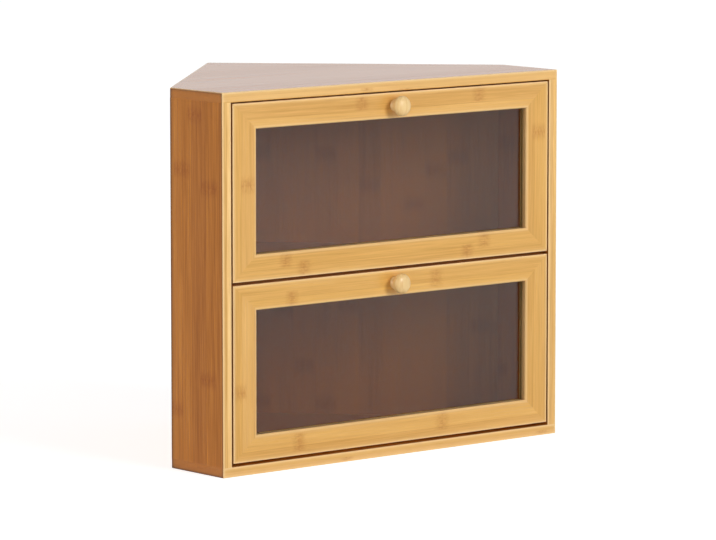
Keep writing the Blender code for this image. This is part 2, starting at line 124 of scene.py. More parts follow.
# %% [markdown]
# ## Colours as light
#
# A colour on a screen is written from 0 to 255, but a shader wants amounts of light, and the two don't run
# side by side: half the number is only about a fifth of the light. Every colour below is written as it looks
# on the screen, and this helper turns it into light. Its odd numbers are those of the standard for screens.

# %% From screen colour to light
def colour(red, green, blue):
    """A colour picked from 0 to 255 on a screen, as the light that a shader wants."""
    def light(level):
        share = level / 255
        return share / 12.92 if share <= 0.04045 else ((share + 0.055) / 1.055) ** 2.4
    return (light(red), light(green), light(blue), 1)


print("a level of 128 out of 255 is this share of the light:", round(colour(128, 128, 128)[0], 3))

# %% [markdown]
# ## The world
#
# The photograph shows the box on plain white, in soft light. White all round could be made with more light,
# but then the wood would turn pale too. Instead the world has two strengths. Rays from the camera, and rays
# that a gloss or a pane sends on, meet white at strength 1. All other rays meet a dimmer world, brightest at
# the horizon, and that one lights the box.

# %% The world
WHITE = (1, 1, 1, 1)
HORIZON_LIGHT = 0.5
OVERHEAD_LIGHT = 0.08


def seen_directly(tree):
    """1 for rays from the camera, from gloss and through clear things, and 0 for the rest."""
    path = add_node(tree, "ShaderNodeLightPath")
    gloss = calc(tree, "MAXIMUM", path.outputs["Is Glossy Ray"], path.outputs["Is Transmission Ray"])
    return calc(tree, "MAXIMUM", path.outputs["Is Camera Ray"], gloss)


world = bpy.data.worlds.new("pale studio")
bpy.context.scene.world = world
world.use_nodes = True
tree = world.node_tree
tree.nodes.clear()
direction = add_node(tree, "ShaderNodeTexCoord").outputs["Generated"]
height = calc(tree, "MAXIMUM", add_node(tree, "ShaderNodeSeparateXYZ", {0: direction}).outputs["Z"], 0)
strength = calc(tree, "MULTIPLY_ADD", height, OVERHEAD_LIGHT - HORIZON_LIGHT, HORIZON_LIGHT)
white = add_node(tree, "ShaderNodeBackground", {"Color": WHITE, "Strength": 1})
dim = add_node(tree, "ShaderNodeBackground", {"Color": WHITE, "Strength": strength})
mixed = add_node(
    tree, "ShaderNodeMixShader", {0: seen_directly(tree), 1: dim.outputs[0], 2: white.outputs[0]}
)
add_node(tree, "ShaderNodeOutputWorld", {"Surface": mixed.outputs[0]})
print("the world lights the box from", HORIZON_LIGHT, "at the horizon to", OVERHEAD_LIGHT, "overhead")

# %% [markdown]
# ## The floor
#
# The floor is one wide, pale, matt plane under the box. As with the world, it glows for the rays that are
# seen directly, just enough to look white. Far from the lamps it needs a little more glow, so the glow rises
# with the distance, and near the box it stays low enough for a faint, soft shadow to show.

# %% The floor
FLOOR_SIZE = 30.0
FLOOR_COLOUR = colour(240, 240, 240)
FLOOR_GLOW_NEAR, FLOOR_GLOW_FAR = 0.66, 0.83
GLOW_RISES_FROM, GLOW_RISES_TO = 0.5, 4.5


def remap(tree, value, low, high, to_low=0.0, to_high=1.0):
    """A value that runs smoothly from one range to another, and stops at its ends."""
    inputs = {"Value": value, "From Min": low, "From Max": high, "To Min": to_low, "To Max": to_high}
    made = add_node(tree, "ShaderNodeMapRange", inputs, interpolation_type="SMOOTHSTEP")
    return made.outputs["Result"]


def coat(item, material):
    """Gives a piece one material in place of those it has."""
    item.data.materials.clear()
    item.data.materials.append(material)


bpy.ops.object.select_all(action="DESELECT")
bpy.ops.mesh.primitive_plane_add(size=FLOOR_SIZE, location=(0, 0, cad_box[0].z))
floor = bpy.context.object
floor.name = "floor"
floor_material = bpy.data.materials.new("pale floor")
floor_material.use_nodes = True
tree = floor_material.node_tree
tree.nodes.clear()
matt = add_node(tree, "ShaderNodeBsdfDiffuse", {"Color": FLOOR_COLOUR})
place = add_node(tree, "ShaderNodeTexCoord").outputs["Object"]
distance = add_node(tree, "ShaderNodeVectorMath", {0: place}, operation="LENGTH").outputs["Value"]
rising = remap(tree, distance, GLOW_RISES_FROM, GLOW_RISES_TO, FLOOR_GLOW_NEAR, FLOOR_GLOW_FAR)
strength = calc(tree, "MULTIPLY", seen_directly(tree), rising)
glow = add_node(tree, "ShaderNodeEmission", {"Color": WHITE, "Strength": strength})
both = add_node(tree, "ShaderNodeAddShader", {0: matt.outputs[0], 1: glow.outputs[0]})
add_node(tree, "ShaderNodeOutputMaterial", {"Surface": both.outputs[0]})
coat(floor, floor_material)
print("floor", FLOOR_SIZE, "m wide at height", round(cad_box[0].z, 4))

# %% [markdown]
# ## The lamps
#
# A knob's shadow falls a little to the left and down, so the main lamp stands a little to the right of the
# front and above it. The gaps round the doors show dark on both sides, so the light that the left side gets
# comes from beside the box and doesn't look into them. A third lamp, behind the box, keeps the back from
# going dark. Each is a large square, because a large lamp makes soft shadows.

# %% The lamps
LAMP_AIM = Vector((0, -0.13, 0.17))
LAMP_DISTANCE = 3.0
LAMP_SIZE = 1.3
# Each lamp's degrees to the right of the front, its degrees up, and its watts.
LAMPS = {
    "front lamp": (9, 22, 47),
    "side lamp": (-80, 14, 19),
    "rear lamp": (188, 20, 20),
}

for name, (degrees_right, degrees_up, watts) in LAMPS.items():
    lamp_data = bpy.data.lights.new(name, "AREA")
    lamp_data.size = LAMP_SIZE
    lamp_data.energy = watts
    lamp = bpy.data.objects.new(name, lamp_data)
    right, up = math.radians(degrees_right), math.radians(degrees_up)
    outwards = Vector((math.sin(right) * math.cos(up), -math.cos(right) * math.cos(up), math.sin(up)))
    lamp.location = LAMP_AIM + outwards * LAMP_DISTANCE
    lamp.rotation_euler = (-outwards).to_track_quat("-Z", "Y").to_euler()
    bpy.context.scene.collection.objects.link(lamp)
    print(name, watts, "W")

# %% [markdown]
# ## What bamboo board looks like
#
# Bamboo isn't sawn from a trunk like timber. The cane is split into strips, the strips are planed and glued
# side by side into thin plies, and the plies are glued crosswise or lengthwise into a board. So the eye
# finds four things in it. Each strip has its own tone. Fine straight fibres run along it. Every hand's
# breadth or two the cane had a joint, which leaves a small dark knuckle across the strip. And where a board
# is cut, its edge shows the plies as thin lines.
#
# All four follow the board's own directions. We therefore write one node group that reads a place in metres:
# X along the fibres, Y across the strips and Z through the plies. Every piece then turns its own coordinates
# into such a place. Because the pattern fills space, it also runs round each edge as real wood does, with no
# seams and no unwrapping.
#
# We start with the knuckle, a group of its own. It is a short brown patch that fades at its ends and sides.
# A fine noise makes its outline ragged and streaks it, and one thin line crosses its middle where the cane's
# wall was.

# %% The knuckle, a joint of the cane
KNUCKLE_HALF_LENGTH = 0.009
KNUCKLE_LINE_HALF_WIDTH = 0.0012
STREAKS_ALONG_PER_METRE, STREAKS_ACROSS_PER_METRE = 230, 700
OUTLINE_WANDER, LINE_WANDER = 1.6, 0.004
FADE_ALONG, FADE_ACROSS, LINE_FADE_ACROSS = (1.15, 0.35), (1.1, 0.75), (1.0, 0.7)
STREAK_RANGE, STREAK_LEAST = (0.36, 0.66), 0.35
LINE_SHARE = 0.22


def vector_calc(tree, operation, *values):
    """The result of a Vector Math node that gives a vector."""
    return add_node(tree, "ShaderNodeVectorMath", dict(enumerate(values)), operation=operation).outputs[0]


def noise(tree, place, detail=2, scale=1):
    """Smooth random values about 0.5, one blob for each unit of the place."""
    inputs = {"Vector": place, "Scale": scale, "Detail": detail}
    return add_node(tree, "ShaderNodeTexNoise", inputs).outputs[0]


def new_group(name, inputs, outputs):
    """An empty shader node group with its two end nodes. A vector is marked by a trailing star."""
    group = bpy.data.node_groups.new(name, "ShaderNodeTree")
    for in_out, sockets in (("INPUT", inputs), ("OUTPUT", outputs)):
        for socket in sockets:
            kind = "NodeSocketVector" if socket.endswith("*") else "NodeSocketFloat"
            group.interface.new_socket(socket.rstrip("*"), in_out=in_out, socket_type=kind)
    return group, group.nodes.new("NodeGroupInput").outputs, group.nodes.new("NodeGroupOutput")


def make_knuckle_group():
    """How dark a knuckle is at a point, from 0 to 1. Along and Across count from its middle."""
    group, given, result = new_group("knuckle", ["Place*", "Along", "Across", "Half width"], ["Dark"])
    per_metre = (STREAKS_ALONG_PER_METRE, STREAKS_ACROSS_PER_METRE, STREAKS_ACROSS_PER_METRE)
    streak = noise(group, vector_calc(group, "MULTIPLY", given["Place"], per_metre))
    wander = calc(group, "SUBTRACT", streak, 0.5)
    along = calc(group, "ABSOLUTE", calc(group, "DIVIDE", given["Along"], KNUCKLE_HALF_LENGTH))
    across = calc(group, "ABSOLUTE", calc(group, "DIVIDE", given["Across"], given["Half width"]))
    far_along = calc(group, "MULTIPLY_ADD", wander, OUTLINE_WANDER, along)
    body = calc(group, "MULTIPLY", remap(group, far_along, *FADE_ALONG), remap(group, across, *FADE_ACROSS))
    streaks = remap(group, streak, *STREAK_RANGE, STREAK_LEAST, 1.0)
    off_line = calc(group, "ABSOLUTE", calc(group, "MULTIPLY_ADD", wander, LINE_WANDER, given["Along"]))
    line = remap(group, off_line, KNUCKLE_LINE_HALF_WIDTH, 0.0)
    line = calc(group, "MULTIPLY", line, remap(group, across, *LINE_FADE_ACROSS))
    line = calc(group, "MULTIPLY", line, LINE_SHARE)
    group.links.new(calc(group, "MULTIPLY_ADD", body, streaks, line), result.inputs["Dark"])
    return group


KNUCKLE = make_knuckle_group()
print("knuckle group", len(KNUCKLE.nodes), "nodes")

# %% [markdown]
# ## The strips and their fibres
#
# A strip's number is its place across the board divided by the strip's width, rounded down. Each ply is
# shifted a little, so that its strips don't stand in line with the next ply's. A White Noise node turns the
# strip's number into three chances, one for its tone, one for its warmth and one for where its knuckles sit.
# The fibres are a Noise texture squeezed hard across the board, so that its blobs become long streaks: wide
# clouds of tone, one coarse layer that the eye sees from a step away, and one fine layer for a close look.
# The glue joint between two strips is a hair darker and lies a hair lower.

# %% The strips, fibres and knuckles of a bamboo board
# Each layer's blobs per metre along and across, its detail, and its share of the tone.
WIDE_LAYER = (5, 75, 2, 0.55)
COARSE_LAYER = (9, 460, 4, 0.65)
FINE_LAYER = (26, 1100, 2, 0.7)
STRIP_TONE_SPREAD = 0.32
STRIP_PLACE_SPREAD = 31.0
KNUCKLE_PITCH = 0.24
JOINT_HALF_WIDTH = 0.0005
JOINT_DARK = 0.22
PLY_SHIFT_SHARE = 0.37


def make_bamboo_group():
    """Tone, warmth, knuckles and relief of laminated bamboo, each about 0 to 1, at a place in metres."""
    group, given, result = new_group(
        "bamboo board",
        ["Place*", "Strip", "Ply", "Seed", "Own knuckles"],
        ["Tone", "Warmth", "Knuckle", "Relief"],
    )
    place = add_node(group, "ShaderNodeSeparateXYZ", {0: given["Place"]}).outputs
    ply = calc(group, "FLOOR", calc(group, "DIVIDE", place["Z"], given["Ply"]))
    strips_in = calc(group, "DIVIDE", place["Y"], given["Strip"])
    strips_in = calc(group, "MULTIPLY_ADD", ply, PLY_SHIFT_SHARE, strips_in)
    strip = calc(group, "FLOOR", strips_in)
    cell = add_node(group, "ShaderNodeCombineXYZ", {0: strip, 1: ply, 2: given["Seed"]}).outputs[0]
    chance = add_node(group, "ShaderNodeTexWhiteNoise", {"Vector": cell}, noise_dimensions="3D")
    chance = chance.outputs["Color"]
    chances = add_node(group, "ShaderNodeSeparateXYZ", {0: chance}).outputs
    spread = add_node(
        group, "ShaderNodeVectorMath", {0: chance, "Scale": STRIP_PLACE_SPREAD}, operation="SCALE"
    ).outputs[0]

    tone = calc(group, "SUBTRACT", chances["X"], 0.5)
    tone = calc(group, "MULTIPLY_ADD", tone, STRIP_TONE_SPREAD, 0.5)
    for along, across, detail, share in (WIDE_LAYER, COARSE_LAYER, FINE_LAYER):
        squeezed = vector_calc(group, "MULTIPLY", given["Place"], (along, across, across))
        streak = noise(group, vector_calc(group, "ADD", squeezed, spread), detail)
        tone = calc(group, "MULTIPLY_ADD", calc(group, "SUBTRACT", streak, 0.5), share, tone)
    fine = streak

    within = calc(group, "SUBTRACT", calc(group, "FRACT", strips_in), 0.5)
    to_joint = calc(group, "SUBTRACT", 0.5, calc(group, "ABSOLUTE", within))
    joint = remap(group, calc(group, "MULTIPLY", to_joint, given["Strip"]), JOINT_HALF_WIDTH, 0.0)
    tone = calc(group, "MULTIPLY_ADD", joint, -JOINT_DARK, tone)

    turns = calc(group, "ADD", calc(group, "DIVIDE", place["X"], KNUCKLE_PITCH), chances["Z"])
    along = calc(group, "SUBTRACT", calc(group, "FRACT", turns), 0.5)
    knuckle = add_node(group, "ShaderNodeGroup", {
        "Place": given["Place"],
        "Along": calc(group, "MULTIPLY", along, KNUCKLE_PITCH),
        "Across": calc(group, "MULTIPLY", within, given["Strip"]),
        "Half width": calc(group, "MULTIPLY", given["Strip"], 0.5),
    }, node_tree=KNUCKLE).outputs["Dark"]
    knuckle = calc(group, "MULTIPLY", knuckle, given["Own knuckles"])

    relief = calc(group, "SUBTRACT", fine, joint)
    for name, value in (("Tone", tone), ("Warmth", chances["Y"]), ("Knuckle", knuckle), ("Relief", relief)):
        group.links.new(value, result.inputs[name])
    return group


BAMBOO = make_bamboo_group()
print("bamboo group", len(BAMBOO.nodes), "nodes")

# %% [markdown]
# ## How near a point is to an edge
#
# A board's edges are sanded round and handling rubs them, and the finish also paints light and shade along
# them. So the finish has to know how near a point lies to an edge. We measure how far it is from each flat
# side of the piece. On a flat side one of those distances is zero, and near an edge two are small. The sum
# of exp(-distance / width) over all sides is therefore about 1 on a flat and about 2 at an edge, and 1 less
# than the sum says how near the edge is.

# %% Flat sides and edges
EDGE_WIDTH = 0.001
EDGE_STRENGTH = 2.2


def box_sides(node, letters):
    """The flat sides of a node's box along some axes: outward directions, and distances from zero."""
    low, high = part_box(node)
    sides = []
    for letter in letters:
        index = "xyz".index(letter)
        direction = Vector((0, 0, 0))
        direction[index] = 1
        sides += [(direction, high[index]), (-direction, -low[index])]
    return sides


def dot(tree, first, second):
    """The dot product of two vectors, which is a number."""
    made = add_node(tree, "ShaderNodeVectorMath", {0: first, 1: second}, operation="DOT_PRODUCT")
    return made.outputs["Value"]


def depth_inside(tree, place, side):
    """How far a place lies behind one flat side."""
    direction, distance = side
    return calc(tree, "SUBTRACT", distance, dot(tree, place, direction))


def near_edge(tree, place, sides):
    """1 at the edges where two sides meet, falling to 0 on the flats."""
    total = -1.0
    for side in sides:
        near = calc(tree, "EXPONENT", calc(tree, "DIVIDE", depth_inside(tree, place, side), -EDGE_WIDTH))
        total = calc(tree, "ADD", near, total)
    strong = calc(tree, "MULTIPLY", total, EDGE_STRENGTH)
    return add_node(tree, "ShaderNodeClamp", {"Value": strong}).outputs[0]


for inwards in (0.0, 0.001, 0.003):
    near = min(EDGE_STRENGTH * math.exp(-inwards / EDGE_WIDTH), 1)
    print(f"{inwards * 1000:.0f} mm in from an edge its mark is {near:.2f} strong")

# %% [markdown]
# ## The board's pattern on a piece
#
# A material turns a piece's Object coordinates into the group's place. It takes off the piece's own corner,
# turns the place if the piece stands at an angle, and puts the fibres' direction first. Knuckles that the
# photograph shows are added one by one, each at its real place along and across the board.
#
# Darker bamboo isn't only darker but also more saturated. So a strip's level is used as it is for red, and
# raised to a power for green and a higher one for blue. A warm strip also keeps less blue than a cool one.

# %% Place, marks and tone
COOL_STRIP, WARM_STRIP = (0.99, 0.98, 1.03, 1), (1.02, 1.01, 0.9, 1)
GREEN_POWER, BLUE_POWER = 1.4, 2.4
KNUCKLE_BROWN = (0.7, 0.52, 0.33)
KNUCKLE_SHADE = 0.6


def blend_colours(tree, share, first, second):
    """Two colours mixed by a share from 0 to 1."""
    return add_node(tree, "ShaderNodeMix", {0: share, 6: first, 7: second}, data_type="RGBA").outputs[2]


def board_place(tree, place, order, corner, turn):
    """A piece's place as a board's: along, across and through it, and the three as one vector."""
    moved = vector_calc(tree, "SUBTRACT", place, corner)
    if turn:
        inputs = {"Vector": moved, "Angle": turn}
        moved = add_node(tree, "ShaderNodeVectorRotate", inputs, rotation_type="Z_AXIS").outputs[0]
    axes = add_node(tree, "ShaderNodeSeparateXYZ", {0: moved}).outputs
    along, across, through = (axes[letter.upper()] for letter in order)
    board = add_node(tree, "ShaderNodeCombineXYZ", {0: along, 1: across, 2: through}).outputs[0]
    return along, across, through, board


def add_marks(tree, along, across, board, dark, marks):
    """The darkness of the knuckles, with some more at given places. A mark is along, across, half width."""
    for mark_along, mark_across, half_width in marks:
        mark = add_node(tree, "ShaderNodeGroup", {
            "Place": board,
            "Along": calc(tree, "SUBTRACT", along, mark_along),
            "Across": calc(tree, "SUBTRACT", across, mark_across),
            "Half width": half_width,
        }, node_tree=KNUCKLE)
        dark = calc(tree, "MAXIMUM", dark, mark.outputs["Dark"])
    return dark


def draw_strips(tree, ground, pattern, dark, contrast):
    """A ground colour with the tones of strips and fibres and the brown of knuckles drawn in."""
    level = calc(tree, "MULTIPLY_ADD", calc(tree, "SUBTRACT", pattern["Tone"], 0.5), contrast, 1.0)
    green, blue = calc(tree, "POWER", level, GREEN_POWER), calc(tree, "POWER", level, BLUE_POWER)
    levels = add_node(tree, "ShaderNodeCombineXYZ", {0: level, 1: green, 2: blue}).outputs[0]
    toned = vector_calc(tree, "MULTIPLY", ground, levels)
    warmth = blend_colours(tree, pattern["Warmth"], COOL_STRIP, WARM_STRIP)
    toned = vector_calc(tree, "MULTIPLY", toned, warmth)
    brown = vector_calc(tree, "MULTIPLY", toned, KNUCKLE_BROWN)
    return blend_colours(tree, calc(tree, "MULTIPLY", dark, KNUCKLE_SHADE), toned, brown)


print(f"where red keeps half, green keeps {0.5 ** GREEN_POWER:.2f} and blue {0.5 ** BLUE_POWER:.2f}")

# %% [markdown]
# ## Stain, wear and painted edge light
#
# Only the faces that look to the front show bamboo's own honey tone. The left side is a deeper, redder
# caramel, and plain light gives no such difference. So this box is taken as stained, with its front faces
# left bare. On a door's narrow edges, which face the gaps and the windows' reveals, the same caramel is
# painted shade. A face ply is also a little deeper than the core, so a bare edge shows a pale middle between
# two thin lines.
#
# A bare edge is made pale, partly as rubbed wear and partly as a painted highlight where its rounding
# catches the light. Along an edge of a stained side that faces sideways or down, a thin dark line is painted
# shade where the rounding turns from the light. On an upper side there is no such line, and the edge is
# painted paler as a highlight. An edge that lies against another board gets no dark line, because there the
# two boards meet in a fine seam. Round a window the frame's inner edge is eased a little further, and a pale
# band along it is a painted highlight.

# %% Colours of the finish
HONEY, HONEY_CORE = colour(229, 176, 94), colour(239, 191, 119)
# Caramel is stain, and on a door's narrow edges it is painted shade. The second colour here is a painted
# shade line along edges, and the third is partly rubbed wear and partly a painted highlight.
CARAMEL, PAINTED_EDGE_SHADE, WORN_AND_HIGHLIGHT = colour(200, 124, 46), colour(104, 62, 24), colour(252, 214, 154)
FACE_PLY = 0.0008
# Strengths of the painted edge shade and of the pale of wear and painted highlight, and the share of that
# pale that an upper caramel edge is spared.
EDGE_SHADE_SHARE = 0.8
WEAR_AND_HIGHLIGHT_SHARE = 0.9
UPPER_EDGE_UNHIGHLIGHTED = 0.4
# Where the window's painted highlight starts, where it is full, and its strength.
WINDOW_HIGHLIGHT_OUTER, WINDOW_HIGHLIGHT_INNER, WINDOW_HIGHLIGHT_SHARE = 0.0034, 0.0016, 0.45
# A face looks in a direction fully or barely when the cosine between the two is at least this much.
FACES_FULLY, FACES_BARELY = 0.3, 0.1


def stain_and_shade_share(tree, normal, bare):
    """1 on the sides of a piece that take the caramel, as stain on the case and as painted shade on a door's
    edges, and 0 on those that face a bare direction.
    """
    stain_and_shade = 1.0
    for direction in bare:
        aside = remap(tree, dot(tree, normal, direction), FACES_FULLY, FACES_BARELY)
        stain_and_shade = calc(tree, "MINIMUM", stain_and_shade, aside)
    return stain_and_shade


def stain_wear_and_painted_edge_light(tree, place, normal, toned, stain_and_shade, sides, covered, window):
    """The colour with a painted shade line at the edges of caramel sides that face sideways or down, and
    with bare and upper edges made pale, partly as wear and partly as a painted highlight.
    """
    edge = near_edge(tree, place, sides)
    wear_and_highlight_edge = near_edge(tree, place, sides + covered) if covered else edge
    upwards = add_node(tree, "ShaderNodeSeparateXYZ", {0: normal}).outputs["Z"]
    # Painted shade: a dark line along the edges of caramel sides that face sideways or down.
    shade_by_facing = remap(tree, upwards, FACES_FULLY, 0.0, 0.0, EDGE_SHADE_SHARE)
    edge_shade = calc(tree, "MULTIPLY", calc(tree, "MULTIPLY", edge, stain_and_shade), shade_by_facing)
    toned = blend_colours(tree, edge_shade, toned, PAINTED_EDGE_SHADE)
    # Painted highlight and wear: bare edges turn fully pale, upper caramel edges partly, other caramel edges
    # not.
    unhighlighted = calc(tree, "MULTIPLY", stain_and_shade, remap(tree, upwards, 0.0, FACES_FULLY, 1.0, UPPER_EDGE_UNHIGHLIGHTED))
    wear_and_highlight = calc(tree, "MULTIPLY", wear_and_highlight_edge, WEAR_AND_HIGHLIGHT_SHARE)
    wear_and_highlight = calc(tree, "MULTIPLY", wear_and_highlight, calc(tree, "SUBTRACT", 1.0, unhighlighted))
    # The pale band round a window is a painted highlight on the frame's rounded inner edge.
    if window:
        inside = depth_inside(tree, place, window)
        band = remap(tree, inside, WINDOW_HIGHLIGHT_OUTER, WINDOW_HIGHLIGHT_INNER, 0.0, WINDOW_HIGHLIGHT_SHARE)
        wear_and_highlight = calc(tree, "MAXIMUM", wear_and_highlight, band)
    return blend_colours(tree, wear_and_highlight, toned, WORN_AND_HIGHLIGHT)


print("light in honey", [round(part, 3) for part in HONEY[:3]], "and in caramel",
      [round(part, 3) for part in CARAMEL[:3]])

# %% [markdown]
# ## The bamboo material
#
# Now the parts come together in one material for each piece. Under a thin lacquer the fibres are barely
# felt, so the bump is small. The pale fibres take a slightly better polish than the dark ones, which makes
# the roughness waver with the tone. How strongly the lacquer reflects is one number for the whole piece, and
# it is typed into the shader's own input.

# %% The bamboo material
FIBRE_RELIEF = 0.0001
KNUCKLE_SINKS = 0.6
POLISH_RANGE = (0.1, 0.9)


def new_material(name):
    """An empty material, its node tree and its Principled shader."""
    material = bpy.data.materials.new(name)
    material.use_nodes = True
    return material, material.node_tree, material.node_tree.nodes["Principled BSDF"]


def bamboo(name, order, corner, strip, ply, thickness, sides, seed,
           turn=0.0, marks=(), own_knuckles=1.0, contrast=0.45, gloss=0.3, gloss_swing=0.12,
           shine=0.4, relief_share=0.35, bare=(), window=None, covered=()):
    """Bamboo for one piece. order says which of its axes run along, across and through the board.

    sides are its flat sides, and covered are more of them, which lie against another board. bare are the
    directions of the faces that take neither stain nor painted shade. window is the side where the frame's
    opening begins, along which a pale painted highlight runs.
    """
    material, tree, shader = new_material(name)
    coordinates = add_node(tree, "ShaderNodeTexCoord").outputs
    place, normal = coordinates["Object"], coordinates["Normal"]
    along, across, through, board = board_place(tree, place, order, corner, turn)
    pattern = add_node(tree, "ShaderNodeGroup", {
        "Place": board, "Strip": strip, "Ply": ply, "Seed": seed, "Own knuckles": own_knuckles,
    }, node_tree=BAMBOO).outputs
    dark = add_marks(tree, along, across, board, pattern["Knuckle"], marks)

    depth = calc(tree, "ABSOLUTE", through)
    at_face = remap(tree, depth, thickness / 2 - FACE_PLY, thickness / 2 - FACE_PLY / 2)
    stain_and_shade = stain_and_shade_share(tree, normal, bare)
    ground = blend_colours(tree, at_face, HONEY_CORE, HONEY)
    # The caramel is stain on the case, and painted shade on a door's narrow edges.
    ground = blend_colours(tree, stain_and_shade, ground, CARAMEL)
    toned = draw_strips(tree, ground, pattern, dark, contrast)
    # Edges get their painted shade, painted highlight and rubbed wear here.
    finished = stain_wear_and_painted_edge_light(tree, place, normal, toned, stain_and_shade, sides, covered, window)

    relief = calc(tree, "MULTIPLY_ADD", dark, -KNUCKLE_SINKS, pattern["Relief"])
    inputs = {"Strength": relief_share, "Distance": FIBRE_RELIEF, "Height": relief}
    bump = add_node(tree, "ShaderNodeBump", inputs).outputs[0]
    dull, bright = gloss + gloss_swing / 2, gloss - gloss_swing / 2
    rough = remap(tree, pattern["Tone"], *POLISH_RANGE, dull, bright)
    tree.links.new(finished, shader.inputs["Base Color"])
    tree.links.new(rough, shader.inputs["Roughness"])
    tree.links.new(bump, shader.inputs["Normal"])
    shader.inputs["Specular IOR Level"].default_value = shine
    return material


# %% [markdown]
# ## Copies that may be reshaped
#
# A solid piece of the frame is never changed. Where a piece needs a change, we copy its mesh into a new
# object, merge its loose triangles into one skin, and let the copy show in the piece's place. Its points are
# selected by where they lie, which works the same each time, and an operator then moves them.
#
# Afterwards an angle limit smooths the rounded edges and leaves the sharp ones sharp. A flat side next to a
# small round would still catch a false gradient, so a Weighted Normal modifier lets the large faces decide
# the shading.

# %% Copy a solid piece
MERGE_DISTANCE = 0.00001
SMOOTH_DEGREES = 40


def select_points(piece, keep):
    """Selects a piece's points by their place, in edit mode."""
    bpy.ops.mesh.select_mode(type="VERT")
    bpy.ops.mesh.select_all(action="DESELECT")
    bpy.ops.object.mode_set(mode="OBJECT")
    for point in piece.data.vertices:
        point.select = keep(point.co)
    bpy.ops.object.mode_set(mode="EDIT")


def copy_node(node):
    """A new piece with a merged copy of a CAD node's mesh, in edit mode."""
    piece = bpy.data.objects.new(f"{node}_dressed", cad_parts[node].data.copy())
    bpy.context.scene.collection.objects.link(piece)
    bpy.ops.object.select_all(action="DESELECT")
    bpy.context.view_layer.objects.active = piece
    piece.select_set(True)
    bpy.ops.object.mode_set(mode="EDIT")
    bpy.ops.mesh.select_all(action="SELECT")
    bpy.ops.mesh.remove_doubles(threshold=MERGE_DISTANCE)
    return piece


def finish_copy(piece, node, body):
    """Smooths a copy's rounded edges, keeps its flats flat, and lets it show in the node's place."""
    bpy.ops.object.mode_set(mode="OBJECT")
    bpy.ops.object.shade_smooth_by_angle(angle=math.radians(SMOOTH_DEGREES))
    weigh = piece.modifiers.new("flat sides keep their shading", "WEIGHTED_NORMAL")
    weigh.keep_sharp = True
    bpy.ops.object.modifier_apply(modifier=weigh.name)
    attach(piece, body)
    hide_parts(node)
    print(piece.name, len(piece.data.polygons), "faces, from", len(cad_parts[node].data.polygons))


# %% [markdown]
# ## The case's boards
#
# The top and bottom boards lie flat, with their fibres from left to right and three plies through their
# thickness. The photograph sees the top at a low angle, where its lacquer mirrors the white all round and
# hides most of the grain, so the boards are the smoothest and most even pieces. The shelf and the small
# block that carries the upper catch are cut from the same board.
#
# The five upright sides of the case are worked out once from the frame: right, left, front and the two
# backs at 45 degrees. A board's open side joins them for its edges. The bottom board's upper side is its
# covered one, because the panels stand on it. The top board's under side takes no part.
#
# A seed only makes one piece's strips differ from another's.

# %% Dress the boards
FRONT = Vector((0, -1, 0))
BACK_DEGREES = 45
BACK_SLOPE = math.sqrt(0.5)
BOARD_STRIP = 0.019
BOARD_SEEDS = {"top_board": 3.0, "bottom_board": 11.0}
INNER_SEEDS = {"middle_shelf": 31.0, "upper_catch_block": 37.0}
CASE_PLIES = 3
BOARD_FINISH = {"contrast": 0.2, "gloss": 0.2, "gloss_swing": 0.03, "shine": 0.245, "relief_share": 0.03}


def plan_sides():
    """The five upright sides of the case: right, left, front and the two backs."""
    _, side_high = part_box("left_side_panel")
    low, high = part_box("bottom_board")
    slanted = (high.x + side_high.y) * BACK_SLOPE
    upright = box_sides("bottom_board", "x") + [(FRONT, -low.y)]
    return upright + [(Vector((hand * BACK_SLOPE, BACK_SLOPE, 0)), slanted) for hand in (-1, 1)]


def lying_bamboo(node, sides, seed, **finish):
    """Bamboo for a board that lies flat, with its fibres from left to right."""
    low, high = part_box(node)
    thickness = high.z - low.z
    corner = (0, low.y, (low.z + high.z) / 2)
    ply = thickness / CASE_PLIES
    return bamboo(node, "xyz", corner, BOARD_STRIP, ply, thickness, sides, seed, **finish)


case_sides = plan_sides()
for node, seed in BOARD_SEEDS.items():
    upper_side, under_side = box_sides(node, "z")
    open_side, covered = (upper_side, []) if node == "top_board" else (under_side, [upper_side])
    coat(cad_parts[node], lying_bamboo(
        node, case_sides + [open_side], seed, bare=(FRONT,), covered=covered, **BOARD_FINISH
    ))
for node, seed in INNER_SEEDS.items():
    coat(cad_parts[node], lying_bamboo(node, box_sides(node, "xyz"), seed))
print("distances of the five sides from the middle", [round(distance, 4) for _, distance in case_sides])

# %% [markdown]
# ## The upright panels
#
# On the real box the panels are glued between the boards, and their ends touch them. The solid pieces keep
# 0.3 mm of air there, which would draw a dark line under the top. So each panel becomes a copy whose two
# ends are moved up and down until they meet the boards.

# %% Shape the upright panels
def reach_boards(panel, node):
    """Moves a panel's two ends up and down until they meet the boards."""
    low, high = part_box(node)
    for end, board in ((low.z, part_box("bottom_board")[1].z), (high.z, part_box("top_board")[0].z)):
        select_points(panel, lambda place: abs(place.z - end) < MERGE_DISTANCE)
        bpy.ops.transform.translate(value=(0, 0, board - end))


panels = {}
for side in ("left", "right"):
    for kind in ("side", "back"):
        node = f"{side}_{kind}_panel"
        panels[node] = copy_node(node)
        reach_boards(panels[node], node)
        finish_copy(panels[node], node, "case")

# %% [markdown]
# ## Wood for the upright panels
#
# All four panels stand with their fibres upright. In the photograph the left side shows four strips about
# 20 mm wide, with clear streaks and a handful of knuckles. Their places were read from the picture and are
# written here in real metres. The right side is given the same ones. The back panels run at 45 degrees, so
# their coordinates are turned before the pattern reads them, and the pattern places their knuckles itself.

# %% Dress the upright panels
SIDE_STRIP, BACK_STRIP = 0.020, 0.021
SIDE_FIRST_STRIP = -0.128
BACK_THICKNESS = 0.009
PANEL_SHINE = 0.2
SIDE_CONTRAST = 0.85
SIDE_SEEDS = {"left": 4.0, "right": 12.0}
BACK_SEEDS = {"left": 20.0, "right": 22.0}
